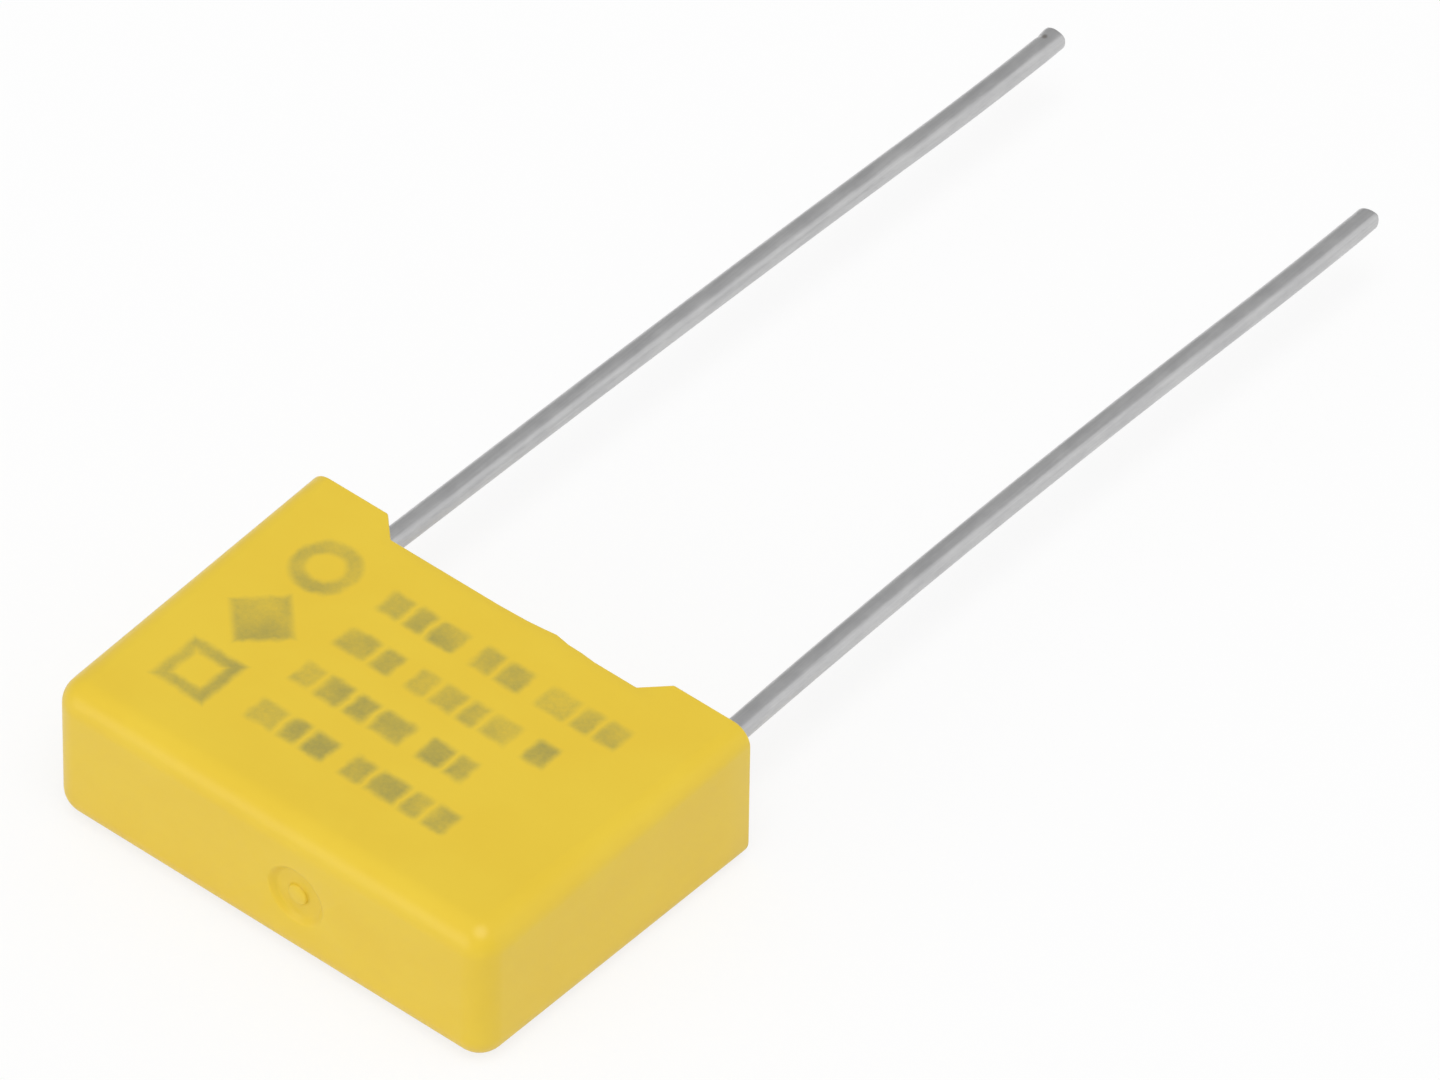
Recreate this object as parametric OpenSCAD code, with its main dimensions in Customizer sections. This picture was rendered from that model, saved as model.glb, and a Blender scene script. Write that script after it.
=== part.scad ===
// Boxed film capacitor with two straight radial leads.
// It lies on one broad face: X runs along the lead row, Y out along the leads, Z up.
// The origin is the middle of the broad face that it lies on.

/* [Case] */
// Length of the case along the lead row, at the rim
case_length = 13; // [12:0.1:16]
// Height of the case from its closed end to the feet
case_height = 9.1; // [8:0.1:12]
// Thickness of the case between its broad faces
case_thickness = 4; // [3.6:0.1:6]
// Radius on the outer edges and on the corners of the closed end
edge_radius = 0.7; // [0.4:0.05:0.9]
// How far each end wall leans in between the rim and the closed end
end_draft = 0.08; // [0.02:0.01:0.2]
// Thickness of the two broad walls
broad_wall = 0.55; // [0.4:0.05:0.7]
// Thickness of the two end walls
end_wall = 0.6; // [0.4:0.05:0.8]
// Thickness of the closed end
closed_wall = 0.7; // [0.5:0.05:1]
// Radius on the four inner edges that run down the cavity
cavity_radius = 0.15; // [0.05:0.05:0.3]

/* [Feet] */
// Length of the flat foot at each end of the rim
foot_length = 2.25; // [1.5:0.05:3]
// Depth of the vent recess between the feet
recess_depth = 0.6; // [0.3:0.05:0.9]
// Slope of the two ends of the recess, from the line of the rim
recess_slope = 45; // [30:1:75]

/* [Gate mark] */
// Place of the moulding gate along the closed end, from its middle
gate_offset = 0.9; // [-3:0.1:3]
// Radius of the dimple around the gate
gate_radius = 0.8; // [0.5:0.05:1.2]
// Depth of the dimple
gate_depth = 0.14; // [0.08:0.02:0.3]
// Radius of the stub of plastic that the gate leaves
gate_stub_radius = 0.28; // [0.15:0.01:0.4]
// How far the stub stays below the closed end
gate_stub_drop = 0.05; // [0.02:0.01:0.07]

/* [Leads] */
// Distance between the two lead axes
lead_pitch = 10; // [7.5:0.5:10.5]
// Diameter of the lead wire
lead_diameter = 0.6; // [0.5:0.05:0.7]
// Free length of each lead past the feet
lead_free = 24; // [4:0.1:40]
// Thickness of the flattened weld end
weld_thickness = 0.4; // [0.3:0.05:0.5]
// Width of the flattened weld end
weld_width = 0.72; // [0.72:0.01:0.9]
// Length over which the wire turns from flat to round
coined_run = 0.8; // [0.5:0.05:1.2]
// How far the weld end sinks into the sprayed metal
weld_sink = 0.06; // [0.02:0.01:0.1]
// Width of the blunt ridge that the cutters leave at a lead's tip
tip_land = 0.12; // [0.06:0.01:0.2]
// Slope of the two faces of the left lead's pinch cut
tip_slope_left = 10; // [5:1:40]
// Slope of the two faces of the right lead's pinch cut
tip_slope_right = 20; // [5:1:40]
// Turn of the left lead's pinch cut about its axis
tip_turn_left = 60; // [0:5:175]
// Turn of the right lead's pinch cut about its axis
tip_turn_right = 50; // [0:5:175]

/* [Winding] */
// Resin between the winding and each broad wall
winding_side_gap = 0.2; // [0.1:0.05:0.3]
// Resin between the winding and the closed end
winding_base_gap = 0.3; // [0.1:0.05:0.6]
// Resin between the winding and the resin's surface
winding_cover = 1; // [0.6:0.05:1.5]
// Thickness of the sprayed metal on each end of the winding
spray_thickness = 0.42; // [0.3:0.02:0.6]
// Distance from the winding's base to the end of the welded wire
weld_margin = 1; // [0.5:0.1:2]

/* [Potting] */
// Depth of the resin's edge below the floor of the recess
potting_drop = 0.25; // [0.1:0.05:0.6]
// Sag of the resin's surface between the broad walls
potting_sag = 0.12; // [0.06:0.01:0.2]
// Height to which resin climbs each lead
collar_height = 0.3; // [0.15:0.05:0.5]
// Width of the resin collar around each lead, at its foot
collar_width = 0.2; // [0.1:0.02:0.24]
// Width of the resin collar at its top
collar_lip = 0.03; // [0.02:0.01:0.05]

/* [Hidden] */
$fn = 48;
// Length by which a cutting shape runs past what it cuts
past = 1;
// Turn of the corner spheres that keeps their poles clear of the rounded corners
pole_turn = 45;
// How far the cone and the wedge of the coined run stand outside the wire and the weld end
coin_margin = 0.05;
// How much thinner than the wire the coined run starts, so that the wire stands proud of it
coin_undercut = 0.01;
// How far the weld end and the wire run on inside the coined run
coin_lap = 0.1;

feet_y = case_height / 2;
closed_y = -case_height / 2;
recess_y = feet_y - recess_depth;
end_x = case_length / 2;
mid_z = case_thickness / 2;
lean = atan(end_draft / case_height);

// Centre of the rounded corner where the +X end wall meets the closed end
corner_y = closed_y + edge_radius;
corner_x = end_x - (feet_y - corner_y) * tan(lean) - edge_radius / cos(lean);

// The cavity leans with the end walls
cavity_y = closed_y + closed_wall;
cavity_mouth_x = end_x - end_wall / cos(lean);
cavity_thickness = case_thickness - 2 * broad_wall;

// The resin's surface is a trough between the broad walls
potting_y = recess_y - potting_drop;
potting_low_y = potting_y - potting_sag;
sag_radius = (pow(cavity_thickness / 2, 2) + pow(potting_sag, 2)) / (2 * potting_sag);

lead_x = lead_pitch / 2;
lead_radius = lead_diameter / 2;
coined_y = feet_y - coined_run;

winding_low_y = cavity_y + winding_base_gap;
winding_high_y = potting_low_y - winding_cover;
winding_thickness = cavity_thickness - 2 * winding_side_gap;
spray_outer_x = lead_x - weld_thickness / 2 + weld_sink;
spray_inner_x = spray_outer_x - spray_thickness;
weld_end_y = winding_low_y + weld_margin;

// Extrudes a section drawn in X and Z along Y, from from_y up to to_y
module along_y(from_y, to_y) {
    translate([0, to_y, 0])
        rotate([90, 0, 0])
            linear_extrude(to_y - from_y) children();
}

// Extrudes a section drawn in Y and Z along X, from from_x up to to_x
module along_x(from_x, to_x) {
    translate([from_x, 0, 0])
        rotate([90, 0, 90])
            linear_extrude(to_x - from_x) children();
}

// Bar section along +X from the origin, with its first two edges rounded
module rounded_end(length, thickness, radius) {
    translate([radius, 0])
        square([length - radius, thickness]);
    translate([0, radius])
        square([length, thickness - 2 * radius]);
    for (z = [radius, thickness - radius])
        translate([radius, z])
            circle(radius);
}

// Bar with rounded edges that forms a leaning -X end wall and runs past the other end
module end_bar(rim_x, thickness, radius) {
    translate([-rim_x, feet_y, 0])
        rotate([0, 0, lean])
            along_y(-case_height - past, 2 * past)
                rounded_end(2 * rim_x + past, thickness, radius);
}

// Bar between two end walls that lean towards each other
module tapered_bar(rim_x, thickness, radius) {
    intersection() {
        end_bar(rim_x, thickness, radius);
        mirror([1, 0, 0]) end_bar(rim_x, thickness, radius);
    }
}

// Outside of the lower half of the rounded column between the -X end wall and the closed end
module corner_cutter() {
    reach = edge_radius + past;
    translate([-corner_x, corner_y, edge_radius])
        difference() {
            translate([0, 0, -reach])
                linear_extrude(mid_z - edge_radius + reach)
                    polygon([
                        [0, 0],
                        [0, -reach],
                        [-reach, -reach],
                        [-reach * cos(lean), -reach * sin(lean)]
                    ]);
            cylinder(r = edge_radius, h = case_thickness);
            rotate([pole_turn, 0, 0])
                sphere(edge_radius);
        }
}

// Outer block with rounded edges everywhere but at the rim
module case_block() {
    difference() {
        intersection() {
            tapered_bar(end_x, case_thickness, edge_radius);
            translate([0, closed_y, 0])
                along_x(-end_x - past, end_x + past)
                    rounded_end(case_height, case_thickness, edge_radius);
        }
        for (side = [0, 1], level = [0, 1])
            translate([0, 0, level * case_thickness])
                mirror([0, 0, level])
                    mirror([side, 0, 0])
                        corner_cutter();
    }
}

// Cavity of the case from the closed end's wall up to a given height
module cavity(to_y) {
    intersection() {
        translate([0, 0, broad_wall])
            tapered_bar(cavity_mouth_x, cavity_thickness, cavity_radius);
        translate([-end_x, cavity_y, 0])
            cube([case_length, to_y - cavity_y, case_thickness]);
    }
}

// Notch through both broad walls that leaves a foot at each end of the rim
module recess() {
    floor_x = end_x - foot_length - recess_depth / tan(recess_slope);
    mouth_x = end_x - foot_length + past / tan(recess_slope);
    translate([0, 0, -past])
        linear_extrude(case_thickness + 2 * past)
            polygon([
                [-floor_x, recess_y],
                [floor_x, recess_y],
                [mouth_x, feet_y + past],
                [-mouth_x, feet_y + past]
            ]);
}

// Dimple in the closed end with the stub of the moulding gate in it
module gate_dimple() {
    translate([gate_offset, closed_y + gate_depth, mid_z])
        rotate([90, 0, 0])
            difference() {
                cylinder(r1 = gate_radius - gate_depth, r2 = gate_radius + past, h = gate_depth + past);
                translate([0, 0, -past])
                    cylinder(r = gate_stub_radius, h = gate_depth - gate_stub_drop + past);
            }
}

// Moulded box, open at the lead side
module case() {
    color("#e5c742")
        difference() {
            case_block();
            cavity(feet_y + past);
            recess();
            gate_dimple();
        }
}

// Flattened roll: the section of the winding and of the metal on its ends
module roll_section() {
    end_radius = winding_thickness / 2;
    for (y = [winding_low_y + end_radius, winding_high_y - end_radius])
        translate([y, mid_z])
            circle(end_radius);
    translate([winding_low_y + end_radius, mid_z - end_radius])
        square([winding_high_y - winding_low_y - winding_thickness, winding_thickness]);
}

// Flat-wound roll of metallised film
module film_winding() {
    color("#c9ccd0")
        along_x(-spray_inner_x, spray_inner_x)
            roll_section();
}

// Sprayed metal on the +X end of the winding, with the seat that the welded wire sinks into
module end_spray() {
    difference() {
        along_x(spray_inner_x, spray_outer_x)
            roll_section();
        lead_body();
    }
}

// Metal that joins the edges of the film to the left lead
module end_spray_left() {
    color("#8f8d88")
        mirror([1, 0, 0]) end_spray();
}

// Metal that joins the edges of the film to the right lead
module end_spray_right() {
    color("#8f8d88")
        end_spray();
}

// Flat weld end of the +X lead and the stretch where it turns round
module lead_body() {
    corner_radius = norm([weld_thickness, weld_width]) / 2;
    translate([lead_x, 0, mid_z]) {
        translate([-weld_thickness / 2, weld_end_y, -weld_width / 2])
            cube([weld_thickness, coined_y + coin_lap - weld_end_y, weld_width]);
        intersection() {
            translate([0, feet_y, 0])
                rotate([90, 0, 0])
                    cylinder(r1 = lead_radius - coin_undercut, r2 = corner_radius + coin_margin, h = coined_run);
            translate([0, 0, -weld_width / 2])
                linear_extrude(weld_width)
                    polygon([
                        [-weld_thickness / 2, coined_y],
                        [weld_thickness / 2, coined_y],
                        [lead_radius + coin_margin, feet_y],
                        [-lead_radius - coin_margin, feet_y]
                    ]);
        }
    }
}

// Round wire of a lead from the feet to its pinch-cut tip, along +Y from the origin
module lead_wire(length, tip_slope, tip_turn) {
    roof_half = lead_radius + past;
    roof_drop = (roof_half - tip_land / 2) * tan(tip_slope);
    intersection() {
        translate([0, -coin_lap, 0])
            rotate([-90, 0, 0])
                cylinder(d = lead_diameter, h = length + coin_lap);
        rotate([0, tip_turn, 0])
            translate([0, 0, -roof_half])
                linear_extrude(2 * roof_half)
                    polygon([
                        [-roof_half, -past],
                        [roof_half, -past],
                        [roof_half, length - roof_drop],
                        [tip_land / 2, length],
                        [-tip_land / 2, length],
                        [-roof_half, length - roof_drop]
                    ]);
    }
}

// Left lead: weld end, coined run and wire in one piece
module lead_left() {
    color("#a9a9a8") {
        mirror([1, 0, 0]) lead_body();
        translate([-lead_x, feet_y, mid_z])
            lead_wire(lead_free, tip_slope_left, tip_turn_left);
    }
}

// Right lead: weld end, coined run and wire in one piece
module lead_right() {
    color("#a9a9a8") {
        lead_body();
        translate([lead_x, feet_y, mid_z])
            lead_wire(lead_free, tip_slope_right, tip_turn_right);
    }
}

// Resin that wets the foot of the +X lead
module collar() {
    translate([lead_x, potting_low_y + collar_height, mid_z])
        rotate([90, 0, 0])
            cylinder(
                r1 = lead_radius + collar_lip,
                r2 = lead_radius + collar_width,
                h = collar_height + potting_sag
            );
}

// Resin that fills the case around the winding and seals its open side
module potting() {
    color("#d8bf5c")
        difference() {
            union() {
                difference() {
                    cavity(potting_y);
                    translate([-case_length, potting_low_y + sag_radius, mid_z])
                        rotate([0, 90, 0])
                            cylinder(r = sag_radius, h = 2 * case_length);
                }
                collar();
                mirror([1, 0, 0]) collar();
            }
            along_x(-spray_outer_x, spray_outer_x)
                roll_section();
            lead_body();
            mirror([1, 0, 0]) lead_body();
        }
}

case();
potting();
film_winding();
end_spray_left();
end_spray_right();
lead_left();
lead_right();
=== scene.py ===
import math
import bmesh
import bpy
from mathutils import Matrix, Vector


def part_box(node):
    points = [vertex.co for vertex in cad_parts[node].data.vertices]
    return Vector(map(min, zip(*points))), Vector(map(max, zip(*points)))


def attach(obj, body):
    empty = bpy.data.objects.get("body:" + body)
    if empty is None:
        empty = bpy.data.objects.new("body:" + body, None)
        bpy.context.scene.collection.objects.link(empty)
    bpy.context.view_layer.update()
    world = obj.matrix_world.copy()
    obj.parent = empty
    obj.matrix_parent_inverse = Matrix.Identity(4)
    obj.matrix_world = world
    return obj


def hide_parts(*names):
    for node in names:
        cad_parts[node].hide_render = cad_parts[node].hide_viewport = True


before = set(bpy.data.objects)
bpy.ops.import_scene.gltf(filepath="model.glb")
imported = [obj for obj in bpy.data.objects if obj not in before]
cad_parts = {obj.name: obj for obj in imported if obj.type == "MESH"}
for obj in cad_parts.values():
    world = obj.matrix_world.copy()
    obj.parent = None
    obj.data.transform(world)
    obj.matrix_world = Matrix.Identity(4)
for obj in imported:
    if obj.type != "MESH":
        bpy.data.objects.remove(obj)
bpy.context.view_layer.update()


# Film winding: a flattened roll of metallised plastic film, wound on a mandrel and pressed.
# It is sealed in the resin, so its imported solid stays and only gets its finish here.
MM = 0.001


class Shade:
    """A socket in a material. Sums and products of it add Math nodes to the same tree."""

    def __init__(self, tree, socket=None):
        self.tree = tree
        self.socket = socket

    def node(self, kind, settings=None, sockets=None, out=0):
        """Adds a node: its settings first, then the values or links of its sockets."""
        made = self.tree.nodes.new("ShaderNode" + kind)
        for name, setting in (settings or {}).items():
            setattr(made, name, setting)
        for name, given in (sockets or {}).items():
            if isinstance(given, Shade):
                self.tree.links.new(given.socket, made.inputs[name])
            else:
                made.inputs[name].default_value = given
        return Shade(self.tree, made.outputs[out])

    def math(self, operation, *given):
        return self.node("Math", {"operation": operation}, dict(enumerate(given)))

    def __add__(self, other):
        return self.math("ADD", self, other)

    __radd__ = __add__

    def __sub__(self, other):
        return self.math("SUBTRACT", self, other)

    def __rsub__(self, other):
        return self.math("SUBTRACT", other, self)

    def __mul__(self, other):
        return self.math("MULTIPLY", self, other)

    __rmul__ = __mul__

    def __pow__(self, other):
        return self.math("POWER", self, other)

    def __abs__(self):
        return self.math("ABSOLUTE", self)

    def most(self, other):
        return self.math("MAXIMUM", self, other)

    def rise(self, low, high):
        """0 below low, 1 above high and a soft step between them."""
        spans = {"From Min": low, "From Max": high, "Value": self}
        return self.node("MapRange", {"interpolation_type": "SMOOTHSTEP"}, spans)

    def mix(self, colour_a, colour_b):
        """colour_a where this value is 0 and colour_b where it is 1."""
        colours = [c if isinstance(c, Shade) else (*c, 1) for c in (colour_a, colour_b)]
        return self.node("Mix", {"data_type": "RGBA"}, {0: self, 6: colours[0], 7: colours[1]}, 2)

    def noise(self, where, scale, detail=2.0, roughness=0.5):
        values = {"Vector": where, "Scale": scale, "Detail": detail, "Roughness": roughness}
        return self.node("TexNoise", None, values)

    def along(self, axis):
        """This vector's part along one axis."""
        return self.node("SeparateXYZ", None, {"Vector": self}, axis)

    def scaled(self, factors):
        """This vector times one factor for each axis."""
        return self.node("VectorMath", {"operation": "MULTIPLY"}, {0: self, 1: factors})


def finish(name):
    """A new material: its shader node, a tool for adding nodes and the place in millimetres."""
    material = bpy.data.materials.new(name)
    material.use_nodes = True
    tree = material.node_tree
    tool = Shade(tree)
    place = tool.node("TexCoord", None, None, "Object").scaled((1 / MM, 1 / MM, 1 / MM))
    return material, tree.nodes["Principled BSDF"], tool, place


def feed(shader, sockets):
    """Links what varies to the shader and sets what stays the same."""
    for name, given in sockets.items():
        if isinstance(given, Shade):
            given.tree.links.new(given.socket, shader.inputs[name])
        else:
            shader.inputs[name].default_value = given


def relief(tool, height, strength, depth_mm):
    """The normal of a surface with this fine relief."""
    values = {"Height": height, "Strength": strength, "Distance": depth_mm * MM}
    return tool.node("Bump", None, values, "Normal")


def dress(piece, material):
    piece.data.materials.clear()
    piece.data.materials.append(material)


FILM_BRIGHT = (0.60, 0.62, 0.65)
FILM_EDGE = (0.36, 0.38, 0.41)
LAYERS_PER_MM = 14.0
LAYER_WAVER = 1.5
LAYER_SHARE = 0.6
CRINKLE_STRETCH = (0.4, 2.0, 2.0)
film, film_shader, tool, place = finish("metallised_film")
wound = {"Vector": place, "Scale": LAYERS_PER_MM / 2, "Distortion": LAYER_WAVER}
layers = tool.node("TexWave", {"bands_direction": "Z"}, wound)
crinkle = tool.noise(place.scaled(CRINKLE_STRETCH), scale=1.6, detail=4.0)
tone = layers * LAYER_SHARE + crinkle * (1 - LAYER_SHARE)
feed(film_shader, {
    "Base Color": tone.mix(FILM_EDGE, FILM_BRIGHT),
    "Roughness": 0.22 + crinkle * 0.2,
    "Metallic": 0.8,
    "Normal": relief(tool, layers + crinkle, strength=0.3, depth_mm=0.01),
})
dress(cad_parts["film_winding"], film)


# End sprays: molten zinc sprayed on both ends of the roll, where it grips the edges of the film.
# It sets as a dull, grainy crust that the leads are welded to, and the resin hides it.
ZINC_DARK = (0.20, 0.20, 0.19)
ZINC_LIGHT = (0.38, 0.37, 0.35)
zinc, zinc_shader, tool, place = finish("sprayed_zinc")
grains = tool.noise(place, scale=9.0, detail=6.0, roughness=0.65)
feed(zinc_shader, {
    "Base Color": grains.rise(0.35, 0.65).mix(ZINC_DARK, ZINC_LIGHT),
    "Roughness": 0.55 + grains * 0.3,
    "Metallic": 0.7,
    "Normal": relief(tool, grains, strength=0.8, depth_mm=0.03),
})
for side in ("left", "right"):
    dress(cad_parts["end_spray_" + side], zinc)


# Leads: tinned wire, coined flat where it is welded to the sprayed metal, round where it leaves the resin.
# Each was pinched off by cutters, which leaves a blunt chisel tip, and has bowed a little in handling.
# The left tip keeps a small burr with a notch behind it, and shade is painted dark into that notch.
LEAD_X = 5.0
LEAD_Z = 2.0
WIRE_RADIUS = 0.3
WELD_HALF = (0.202, 0.36)
WELD_END_Y = -2.55
FLAT_END_Y = 3.45
COINED_Y = 3.75
ROUND_Y = 4.55
LEAD_FREE = 24.0
TIP_Y = ROUND_Y + LEAD_FREE
SQUARENESS = 7.0
KICK_FROM = 0.8
TIP_RIDGE = 0.05
TIP_EDGE = 0.035
TIP_RUN = 0.7
PINCH = 0.03
PINCH_SPREAD = 0.6
BURR_RUN = 0.40
BURR_RISE = 6
BURR_NOTCH = 0.05
NOTCH_SHARE = 0.5
BURR_TURN = 138
SIDES = 48
COINED_STEPS = 10
WIRE_STEPS = 40
TIP_STEPS = 24
TIP_EDGE_STEPS = 4
LEFT_CUT = {"tip_slope": 10, "tip_turn": 60, "burr": 0.11}
LEFT_BEND = {"lean": 0.850, "bow": 0.432, "sway": 0.125, "kick": -0.147}
RIGHT_CUT = {"tip_slope": 20, "tip_turn": 50, "burr": 0.02}
RIGHT_BEND = {"lean": 0.259, "bow": 1.024, "sway": -0.068, "kick": -0.121}


def loft(bm, rings):
    """Skins a row of rings, each a closed loop of as many points in millimetres."""
    loops = [[bm.verts.new(Vector(p) * MM) for p in ring] for ring in rings]
    for a, b in zip(loops, loops[1:]):
        for i in range(len(a)):
            j = (i + 1) % len(a)
            bm.faces.new((a[i], a[j], b[j], b[i]))
    return loops


def weld(bm):
    """Joins points that lie in one place."""
    bmesh.ops.remove_doubles(bm, verts=bm.verts, dist=1e-4 * MM)


def facet(bm):
    """Splits every face into flat triangles, so that a cut between two pieces closes edge to edge."""
    bmesh.ops.triangulate(bm, faces=bm.faces)


def piece_from(bm, name):
    """Turns the mesh being built into a smooth piece of the object."""
    weld(bm)
    bmesh.ops.recalc_face_normals(bm, faces=bm.faces)
    mesh = bpy.data.meshes.new(name)
    bm.to_mesh(mesh)
    bm.free()
    mesh.polygons.foreach_set("use_smooth", [True] * len(mesh.polygons))
    piece = bpy.data.objects.new(name, mesh)
    bpy.context.scene.collection.objects.link(piece)
    return piece


def ease(t):
    """0 to 1 with level ends."""
    t = min(max(t, 0.0), 1.0)
    return t * t * (3 - 2 * t)


def lead(name, side, tip_slope, tip_turn, burr, lean, bow, sway, kick):
    """A wire from its weld, sunk a hair into the zinc, to its tip. Angles in degrees, bends in mm."""
    slope = math.tan(math.radians(tip_slope))
    turn = math.radians(tip_turn)
    cos_turn, sin_turn = math.cos(turn), math.sin(turn)
    angles = [2 * math.pi * i / SIDES for i in range(SIDES)]

    def axis_x(y):
        t = max(0.0, (y - COINED_Y) / (TIP_Y - COINED_Y))
        bent = lean * t + bow * t * (t - 1) + sway * t * (t - 1) * (2 * t - 1)
        return side * LEAD_X + bent + kick * max(0.0, (t - KICK_FROM) / (1 - KICK_FROM)) ** 2

    def flat_ring(y):
        round_share = ease((y - COINED_Y) / (ROUND_Y - COINED_Y))
        power = 2 / (SQUARENESS + (2 - SQUARENESS) * math.sqrt(round_share))
        half_x, half_z = (h + (WIRE_RADIUS - h) * round_share for h in WELD_HALF)
        ring = []
        for a in angles:
            c, s = math.cos(a - turn), math.sin(a - turn)
            x = half_x * math.copysign(abs(c) ** power, c)
            z = half_z * math.copysign(abs(s) ** power, s)
            ring.append((axis_x(y) + x, y, LEAD_Z + z))
        return ring

    def round_ring(y, roof=False, inset=0.0, drop=0.0):
        ring = []
        for a in angles:
            u, v = (WIRE_RADIUS - inset) * math.cos(a), (WIRE_RADIUS - inset) * math.sin(a)
            at = y
            if roof:
                at = y - drop - slope * (math.hypot(u, TIP_RIDGE) - TIP_RIDGE)
            pinch = PINCH * ease((at - TIP_Y + TIP_RUN) / TIP_RUN)
            u, v = u * (1 - pinch), v * (1 + PINCH_SPREAD * pinch)
            x, z = u * cos_turn + v * sin_turn, v * cos_turn - u * sin_turn
            past_notch = (at - TIP_Y + BURR_RUN) / BURR_NOTCH
            notch = NOTCH_SHARE * math.exp(-past_notch * past_notch)
            lip = burr * (ease(past_notch / BURR_RISE) - notch)
            swell = 1 + lip * max(0.0, math.cos(math.atan2(z, x) - math.radians(BURR_TURN))) ** 2
            ring.append((axis_x(at) + x * swell, at, LEAD_Z + z * swell))
        return ring

    def stations(start, end, count):
        return [start + (end - start) * k / count for k in range(1, count + 1)]

    tip_start = TIP_Y - TIP_RUN
    tip_end = TIP_Y - slope * WIRE_RADIUS - 2 * TIP_EDGE
    rings = [flat_ring(y) for y in (WELD_END_Y, 0.0, FLAT_END_Y, COINED_Y)]
    rings += [flat_ring(y) for y in stations(COINED_Y, ROUND_Y, COINED_STEPS)]
    rings += [round_ring(y) for y in stations(ROUND_Y, tip_start, WIRE_STEPS)]
    rings += [round_ring(y) for y in stations(tip_start, tip_end, TIP_STEPS)]
    for k in range(TIP_EDGE_STEPS + 1):
        a = math.pi / 2 * k / TIP_EDGE_STEPS
        rings.append(round_ring(TIP_Y, True, TIP_EDGE * (1 - math.cos(a)), TIP_EDGE * (1 - math.sin(a))))
    bm = bmesh.new()
    loops = loft(bm, rings)
    tip = loops[-1]
    half = SIDES // 2
    bm.faces.new((tip[0], tip[1], tip[-1]))
    for i in range(1, half - 1):
        bm.faces.new((tip[i], tip[i + 1], tip[SIDES - i - 1], tip[SIDES - i]))
    bm.faces.new((tip[half - 1], tip[half], tip[half + 1]))
    bm.faces.new(loops[0])
    facet(bm)
    wire = piece_from(bm, name)
    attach(wire, "root")
    return wire


TIN_LIGHT = (0.59, 0.59, 0.59)
TIN_DULL = (0.487, 0.487, 0.492)
# Bare metal of the cut ends; the same dark colour is also painted into the notch behind the left burr as
# shade.
CUT_METAL_AND_NICK_SHADE = (0.30, 0.285, 0.27)
RESIN_STAIN = (0.55, 0.45, 0.25)
DRAWN_STRETCH = (26.0, 0.5, 26.0)
PATCH_STRETCH = (1.0, 0.45, 1.0)
CUT_FROM_Y, CUT_FULL_Y = TIP_Y - 1.0, TIP_Y - 0.8
STAIN_FULL_Y, STAIN_GONE_Y = 3.7, 4.3
# Where the painted shade in the left burr's notch sits, how wide its dark core is and how far it fades.
NICK_SHADE_CENTRE = (-4.342, 28.15, 2.29)
NICK_SHADE_CORE, NICK_SHADE_REACH = 0.05, 0.13
tin, tin_shader, tool, place = finish("tinned_wire")
along_wire = place.along("Y")
drawn = tool.noise(place.scaled(DRAWN_STRETCH), scale=1.0, detail=3.0)
patches = tool.noise(place.scaled(PATCH_STRETCH), scale=2.2, detail=5.0, roughness=0.6)
pits = tool.noise(place, scale=38.0)
facing_out = tool.node("NewGeometry", None, None, "Normal").along("Y")
cut = facing_out.rise(0.45, 0.75) * along_wire.rise(CUT_FROM_Y, CUT_FULL_Y)
stain = (patches * 0.5 - along_wire).rise(-STAIN_GONE_Y, -STAIN_FULL_Y)
# Painted shade: darkens the notch behind the left burr towards the cut-metal colour.
to_nick_shade = tool.node("VectorMath", {"operation": "DISTANCE"}, {0: place, 1: NICK_SHADE_CENTRE}, "Value")
nick_shade = 1 - (to_nick_shade + pits * 0.04).rise(NICK_SHADE_CORE, NICK_SHADE_REACH)
skin = (patches * 0.65 + drawn * 0.35).rise(0.3, 0.7).mix(TIN_DULL, TIN_LIGHT)
feed(tin_shader, {
    "Base Color": (stain * 0.7).mix(cut.most(nick_shade).mix(skin, CUT_METAL_AND_NICK_SHADE), RESIN_STAIN),
    "Roughness": 0.25 + patches * 0.12 + cut * 0.15,
    "Metallic": 1.0 - stain * 0.5,
    "Normal": relief(tool, drawn + pits * 0.5 + patches * 5.0, strength=0.35, depth_mm=0.006),
})
left_wire = lead("lead_left_wire", -1, **LEFT_CUT, **LEFT_BEND)
right_wire = lead("lead_right_wire", 1, **RIGHT_CUT, **RIGHT_BEND)
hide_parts("lead_left")
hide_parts("lead_right")
dress(left_wire, tin)
dress(right_wire, tin)


# Case: a box moulded in yellow flame-retardant plastic, open at the lead side, with a foot at each rim end.
# Its long edges sharpen towards the rim, where a little flash stands, and a gate dimple marks the closed end.
# The upper broad face carries plain pad-printed shapes in thin ink.
low, high = (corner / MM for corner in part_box("case"))
CASE_HALF_X = high.x
FEET_Y = high.y
CLOSED_Y = low.y
MID_Z = (low.z + high.z) / 2
CASE_HALF_Z = (high.z - low.z) / 2
EDGE = 0.7
RIM_EDGE = 0.5
END_SPREAD = 0.08
LEAN = END_SPREAD / (FEET_Y - CLOSED_Y)
WALL_X = 0.6
WALL_Z = 0.55
WALL_Y = 0.7
RECESS_DEPTH = 0.6
RECESS_Y = FEET_Y - RECESS_DEPTH
RECESS_X = 3.65
FOOT_X = 4.25
SKIRT = 0.3
INNER_EDGE = 0.15
RIM_SOFT = 0.045
SOFT_STEPS = 3
SOFT_FROM_ANGLE = 32
SINK = 0.025
SINK_HALF_X = CASE_HALF_X - EDGE
SAME_PLANE = 1e-6
GATE_X = 0.9
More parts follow.
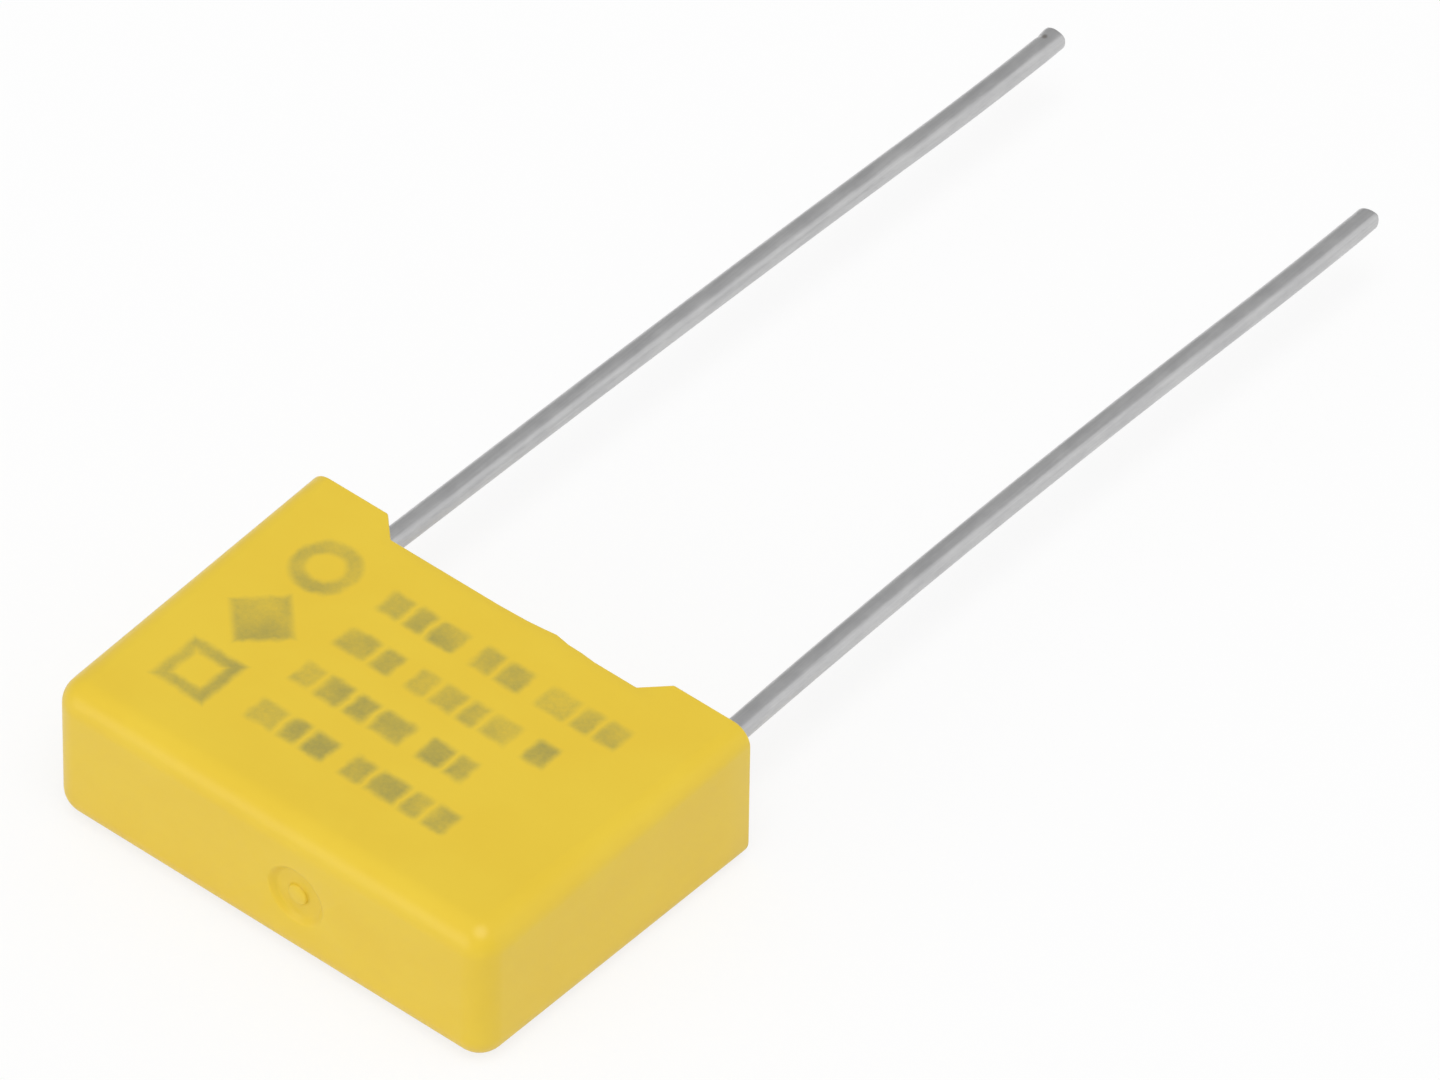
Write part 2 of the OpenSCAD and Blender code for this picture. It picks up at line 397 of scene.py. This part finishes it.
GATE_RINGS = ((0.8, 0.0), (0.66, 0.14), (0.28, 0.14), (0.27, 0.05), (0.12, 0.035))
CORNER_STEPS = 10
ROUND_STEPS = 10
WALL_STEPS = 16
END_STEPS = 3
BROAD_X = (FOOT_X, RECESS_X, 2.8, 2.4, 2.0, 1.6, 1.2, 0.8, 0.4)
FLASH = {0.4: 0.03, 0.8: 0.07, 1.2: 0.12, 1.6: 0.05, 2.0: 0.04}


def outline(half_x, half_z, radius, y_at):
    """Rounded rectangle across the case, with a point at each bend of the rim."""
    flat_x, flat_z = half_x - radius, half_z - radius
    broad = [*BROAD_X, *(-x for x in reversed(BROAD_X))]
    end = [flat_z * k / END_STEPS for k in range(1 - END_STEPS, END_STEPS)]
    arc = [math.pi / 2 * k / CORNER_STEPS for k in range(CORNER_STEPS + 1)]
    points = []
    for quarter, (sx, sz) in enumerate(((1, 1), (-1, 1), (-1, -1), (1, -1))):
        for a in arc:
            a += quarter * math.pi / 2
            points.append((sx * flat_x + radius * math.cos(a), sz * flat_z + radius * math.sin(a)))
        if quarter == 0:
            points += [(x, half_z) for x in broad]
        elif quarter == 1:
            points += [(-half_x, z) for z in reversed(end)]
        elif quarter == 2:
            points += [(-x, -half_z) for x in broad]
        else:
            points += [(half_x, z) for z in end]
    return [(x, y_at(x), MID_Z + z) for x, z in points]


def level(y):
    return lambda x: y


def rim(x):
    return RECESS_Y + (FEET_Y - RECESS_Y) * min(max((abs(x) - RECESS_X) / (FOOT_X - RECESS_X), 0), 1)


def wall_half_x(y, wall=0.0):
    return CASE_HALF_X - wall - (FEET_Y - y) * LEAN


corner_y = CLOSED_Y + EDGE
skirt_y = RECESS_Y - SKIRT
floor_y = CLOSED_Y + WALL_Y
inner_z = CASE_HALF_Z - WALL_Z
rings = []
for k in range(ROUND_STEPS + 1):
    a = math.pi / 2 * (1 - k / ROUND_STEPS)
    swell = EDGE * math.cos(a)
    y = corner_y - EDGE * math.sin(a)
    rings.append(outline(wall_half_x(corner_y) - EDGE + swell, CASE_HALF_Z - EDGE + swell, swell, level(y)))
for k in range(1, WALL_STEPS + 1):
    y = corner_y + (skirt_y - corner_y) * k / WALL_STEPS
    sharper = (EDGE - RIM_EDGE) * (y - corner_y) / (FEET_Y - corner_y)
    rings.append(outline(wall_half_x(y), CASE_HALF_Z, EDGE - sharper, level(y)))
outer_rim = outline(CASE_HALF_X, CASE_HALF_Z, RIM_EDGE, rim)
inner_rim = outline(CASE_HALF_X - WALL_X, inner_z, INNER_EDGE, rim)
rings += [outer_rim, inner_rim]
rings.append(outline(wall_half_x(skirt_y, WALL_X), inner_z, INNER_EDGE, level(skirt_y)))
rings.append(outline(wall_half_x(floor_y, WALL_X), inner_z, INNER_EDGE, level(floor_y)))
for ring in rings[ROUND_STEPS:-3]:
    for i, (x, y, z) in enumerate(ring):
        if abs(z - MID_Z) > CASE_HALF_Z - SAME_PLANE and abs(x) < SINK_HALF_X:
            across, run = 1 - (x / SINK_HALF_X) ** 2, (y - corner_y) / (skirt_y - corner_y)
            dish = SINK * across * max(0.0, 4 * run * (1 - run))
            ring[i] = (x, y, z - math.copysign(dish, z - MID_Z))
for ring in (outer_rim, inner_rim):
    for i, (x, y, z) in enumerate(ring):
        if z > MID_Z:
            ring[i] = (x, y + FLASH.get(x, 0.0), z)
bm = bmesh.new()
loops = loft(bm, rings)
bm.faces.new(loops[-1])
gate = []
for radius, depth in GATE_RINGS:
    gate.append([
        (GATE_X + radius * math.cos(a), CLOSED_Y + depth, MID_Z + radius * math.sin(a))
        for a in (2 * math.pi * k / SIDES for k in range(SIDES))
    ])
gate_loops = loft(bm, gate)
bm.faces.new(gate_loops[-1])
weld(bm)
bmesh.ops.triangle_fill(bm, use_beauty=True, edges=[e for e in bm.edges if e.is_boundary])
case = piece_from(bm, "case_shell")
soften = case.modifiers.new("soft rim", "BEVEL")
soften.width = RIM_SOFT * MM
soften.segments = SOFT_STEPS
soften.limit_method = "ANGLE"
soften.angle_limit = math.radians(SOFT_FROM_ANGLE)
case.modifiers.new("flat faces", "WEIGHTED_NORMAL").keep_sharp = True
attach(case, "root")
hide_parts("case")

YELLOW = (0.790, 0.562, 0.037)
YELLOW_DEEP = (0.776, 0.541, 0.033)
FLOW_STRETCH = (0.35, 0.5, 0.6)
INK = (0.345, 0.298, 0.068)
INK_Z = MID_Z + CASE_HALF_Z - 0.08
INK_FADE = 0.05
INK_EDGE = 0.12
INK_WAVER = 0.16
PAD_GAP = 0.17
PAD_HALF = 0.36
PAD_START_X = -2.45
WORD_GAP = 0.34
ROWS = (
    (2.40, (0.62, 0.50, 0.78, None, 0.55, 0.70, None, 0.86, 0.52, 0.62)),
    (0.92, (0.88, 0.56, None, 0.52, 0.66, 0.50, 0.74, None, 0.60)),
    (-0.58, (0.54, 0.70, 0.58, 0.90, None, 0.64, 0.52)),
    (-2.10, (0.76, 0.52, 0.66, None, 0.58, 0.84, 0.50, 0.62)),
)
MARK_X = -4.15
RING_Y, RING_RADIUS, RING_HALF = 2.30, 0.66, 0.18
LOZENGE_Y, LOZENGE_HALF, LOZENGE_SLANT = 0.12, 0.95, 0.7
SQUARE_Y, SQUARE_HALF, SQUARE_LINE = -2.05, 0.60, 0.16
plastic, plastic_shader, tool, place = finish("case_plastic")
waver = (tool.noise(place, scale=2.6) - 0.5) * INK_WAVER
px = place.along("X") + waver
py = place.along("Y") - waver


def inside(distance):
    """1 inside an outline and 0 outside it, with the soft edge of thin ink."""
    return 1 - distance.rise(-INK_EDGE, INK_EDGE)


ring = ((px - MARK_X) ** 2 + (py - RING_Y) ** 2) ** 0.5
lozenge = abs(px - MARK_X) + abs(py - LOZENGE_Y)
square = abs(px - MARK_X).most(abs(py - SQUARE_Y))
printed = inside(abs(ring - RING_RADIUS) - RING_HALF)
printed = printed.most(inside(lozenge * LOZENGE_SLANT - LOZENGE_HALF * LOZENGE_SLANT))
printed = printed.most(inside(abs(square - SQUARE_HALF) - SQUARE_LINE))
for row_y, widths in ROWS:
    row = inside(abs(py - row_y) - PAD_HALF)
    pad_x = PAD_START_X
    for width in widths:
        if width is None:
            pad_x += WORD_GAP
            continue
        printed = printed.most(row * inside(abs(px - pad_x - width / 2) - width / 2))
        pad_x += width + PAD_GAP
faded = tool.noise(place, scale=0.55, detail=3.0).rise(0.25, 0.75)
specks = tool.noise(place, scale=8.0, detail=4.0, roughness=0.7)
on_top = place.along("Z").rise(INK_Z - INK_FADE, INK_Z)
ink = printed * (0.05 + faded * 0.65 + specks * 0.5) * on_top
flow = tool.noise(place.scaled(FLOW_STRETCH), scale=1.0, detail=3.0)
spark = tool.noise(place, scale=30.0, detail=3.0, roughness=0.6)
peel = tool.noise(place, scale=2.5)
feed(plastic_shader, {
    "Base Color": ink.mix(flow.rise(0.3, 0.7).mix(YELLOW_DEEP, YELLOW), INK),
    "Roughness": 0.27 + spark * 0.12 + flow * 0.06 + ink * 0.06,
    "Specular IOR Level": 0.40,
    "Normal": relief(tool, spark * 0.4 + peel, strength=0.3, depth_mm=0.008),
})
dress(case, plastic)


# Resin: two-part epoxy poured into the open side once the welded winding is in the case.
# It sags between the walls as it cures, wets them, and climbs a little way up each lead.
RESIN_LOW_Y = 3.58
RESIN_SAG = 0.12
WALL_WET = 0.07
WALL_REACH = 0.10
CLIMB = 0.30
CLIMB_REACH = 0.10
COLLAR_HALF = (0.20, 0.36)
LEVEL_TO_X = 4.2
WALL_BAND = 0.2
LEVEL_COLUMNS, COLLAR_COLUMNS, WALL_ROWS, STACK_ROWS = 30, 42, 8, 34
resin_half_x = wall_half_x(RESIN_LOW_Y + RESIN_SAG, WALL_X)


def resin_y(x, z):
    off = z - MID_Z
    to_wall = min(resin_half_x - abs(x), inner_z - abs(off))
    y = RESIN_LOW_Y + RESIN_SAG * (off / inner_z) ** 2 + WALL_WET * math.exp(-to_wall / WALL_REACH)
    beside = max(0.0, abs(abs(x) - LEAD_X) - COLLAR_HALF[0])
    to_lead = math.hypot(beside, max(0.0, abs(off) - COLLAR_HALF[1]))
    return y + CLIMB * math.exp(-to_lead / CLIMB_REACH)


def steps(start, end, count):
    return [start + (end - start) * k / count for k in range(count)]


def both_ways(half, end):
    """Steps from the middle to the end, and the same on the other side."""
    return [-s for s in reversed(half[1:] + [end])] + half + [end]


half_row = steps(0.0, LEVEL_TO_X, LEVEL_COLUMNS)
half_row += steps(LEVEL_TO_X, resin_half_x - WALL_BAND, COLLAR_COLUMNS)
half_row += steps(resin_half_x - WALL_BAND, resin_half_x, WALL_ROWS)
half_stack = steps(0.0, inner_z - WALL_BAND, STACK_ROWS) + steps(inner_z - WALL_BAND, inner_z, WALL_ROWS)
columns = both_ways(half_row, resin_half_x)
bm = bmesh.new()
grid = []
for off in both_ways(half_stack, inner_z):
    z = MID_Z + off
    grid.append([bm.verts.new(Vector((x, resin_y(x, z), z)) * MM) for x in columns])
for lower, upper in zip(grid, grid[1:]):
    for i in range(len(columns) - 1):
        bm.faces.new((lower[i], lower[i + 1], upper[i + 1], upper[i]))
border = [e for e in bm.edges if e.is_boundary]
dropped = bmesh.ops.extrude_edge_only(bm, edges=border)["geom"]
low_half_x = wall_half_x(floor_y, WALL_X)
for v in (g for g in dropped if isinstance(g, bmesh.types.BMVert)):
    v.co = Vector((v.co.x * low_half_x / resin_half_x, floor_y * MM, v.co.z))
bmesh.ops.triangle_fill(bm, use_beauty=True, edges=[e for e in bm.edges if e.is_boundary])
facet(bm)
resin = piece_from(bm, "resin_fill")
cast_in = [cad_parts[node] for node in ("film_winding", "end_spray_left", "end_spray_right")]
for held in (*cast_in, left_wire, right_wire):
    seat = resin.modifiers.new("seat of " + held.name, "BOOLEAN")
    seat.operation = "DIFFERENCE"
    seat.object = held
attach(resin, "root")
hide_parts("potting")

RESIN_CLEAR = (0.74, 0.53, 0.045)
RESIN_CLOUDY = (0.70, 0.49, 0.050)
epoxy, epoxy_shader, tool, place = finish("potting_resin")
cloud = tool.noise(place, scale=0.9, detail=3.0)
feed(epoxy_shader, {
    "Base Color": cloud.rise(0.3, 0.7).mix(RESIN_CLOUDY, RESIN_CLEAR),
    "Roughness": 0.26 + cloud * 0.12,
    "Normal": relief(tool, cloud, strength=0.15, depth_mm=0.03),
})
dress(resin, epoxy)


# Floor: a sheet of plain white card under the part, wide enough for every view.
# It is lifted most of the way to white for the camera and a little in reflections, and keeps the soft shadow.
FLOOR_HALF = 0.6
FLOOR_SQUARES = 4
FLOOR_WHITE = (0.92, 0.92, 0.92)
FLOOR_FIBRE = (0.91, 0.91, 0.91)
SEEN_LIFT = 0.8
MIRRORED_LIFT = 0.3
bm = bmesh.new()
bmesh.ops.create_grid(bm, x_segments=FLOOR_SQUARES, y_segments=FLOOR_SQUARES, size=FLOOR_HALF)
floor = piece_from(bm, "floor")
card, card_shader, tool, place = finish("white_card")
fibre = tool.noise(place, scale=0.8, detail=3.0)
feed(card_shader, {
    "Base Color": fibre.mix(FLOOR_WHITE, FLOOR_FIBRE),
    "Roughness": 0.9,
    "Specular IOR Level": 0.1,
})
lift = tool.node("LightPath", None, None, "Is Glossy Ray") * MIRRORED_LIFT
for ray in ("Is Camera Ray", "Is Transmission Ray"):
    lift = lift.most(tool.node("LightPath", None, None, ray) * SEEN_LIFT)
white = tool.node("Emission", None, {"Color": (1, 1, 1, 1), "Strength": 1.0})
lit = Shade(card.node_tree, card_shader.outputs[0])
shown = tool.node("MixShader", None, {0: lift, 1: lit, 2: white})
card.node_tree.links.new(shown.socket, card.node_tree.nodes["Material Output"].inputs["Surface"])
dress(floor, card)


# Light: a white tent with three soft bright panels: high in front, low at the front left, and rear right.
# Each panel has its direction, the nearness to it where it starts and where it is full, and its strength.
# The camera and clear rays see plain white past the floor.
TENT = 0.56
FRONT_PANEL = ((0.23, -0.21, 0.94), 0.88, 0.99, 3.28)
LOW_PANEL = ((-0.37, -0.90, 0.23), 0.89, 0.985, 1.65)
REAR_PANEL = ((0.76, 0.555, 0.338), 0.85, 0.97, 0.46)
tent = bpy.data.worlds.new("tent")
tent.use_nodes = True
bpy.context.scene.world = tent
tool = Shade(tent.node_tree)
direction = tool.node("TexCoord", None, None, "Generated")
glow = TENT
for towards, start, full, strength in (FRONT_PANEL, LOW_PANEL, REAR_PANEL):
    aim = Vector(towards).normalized()
    nearness = tool.node("VectorMath", {"operation": "DOT_PRODUCT"}, {0: direction, 1: aim}, "Value")
    glow = glow + nearness.rise(start, full) * strength
past = tool.node("LightPath", None, None, "Is Camera Ray")
past = past.most(tool.node("LightPath", None, None, "Is Transmission Ray"))
sky = tent.node_tree.nodes["Background"]
feed(sky, {"Color": (1, 1, 1, 1), "Strength": past + (1 - past) * glow})
bpy.context.scene.view_settings.view_transform = "Standard"


# Camera: a long lens above the closed end, looking along the leads.
# Its place and roll come from the outline of the case in the photograph's 1440 by 1080 frame.
AZIMUTH = math.radians(39.5)
ELEVATION = math.radians(43.962)
ROLL = math.radians(0.929)
AWAY = 389.60
AIM_RIGHT, AIM_UP = 7.246, 6.587
FOCAL_PIXELS = 17284.8
FRAME_PIXELS = 1440
SENSOR = 36.0
NEAREST, FARTHEST = 0.01, 10.0
back = Vector((
    math.sin(AZIMUTH) * math.cos(ELEVATION),
    -math.cos(AZIMUTH) * math.cos(ELEVATION),
    math.sin(ELEVATION),
))
plain_right = Vector((math.cos(AZIMUTH), math.sin(AZIMUTH), 0.0))
plain_up = back.cross(plain_right)
right = plain_right * math.cos(ROLL) + plain_up * math.sin(ROLL)
up = plain_up * math.cos(ROLL) - plain_right * math.sin(ROLL)
camera_data = bpy.data.cameras.new("camera")
camera_data.sensor_fit = "HORIZONTAL"
camera_data.sensor_width = SENSOR
camera_data.lens = FOCAL_PIXELS / FRAME_PIXELS * SENSOR
camera_data.clip_start = NEAREST
camera_data.clip_end = FARTHEST
camera = bpy.data.objects.new("camera", camera_data)
turned = Matrix((right, up, back)).transposed().to_4x4()
stand = (right * AIM_RIGHT + up * AIM_UP + back * AWAY) * MM
camera.matrix_world = Matrix.Translation(stand) @ turned
bpy.context.scene.collection.objects.link(camera)
bpy.context.scene.camera = camera
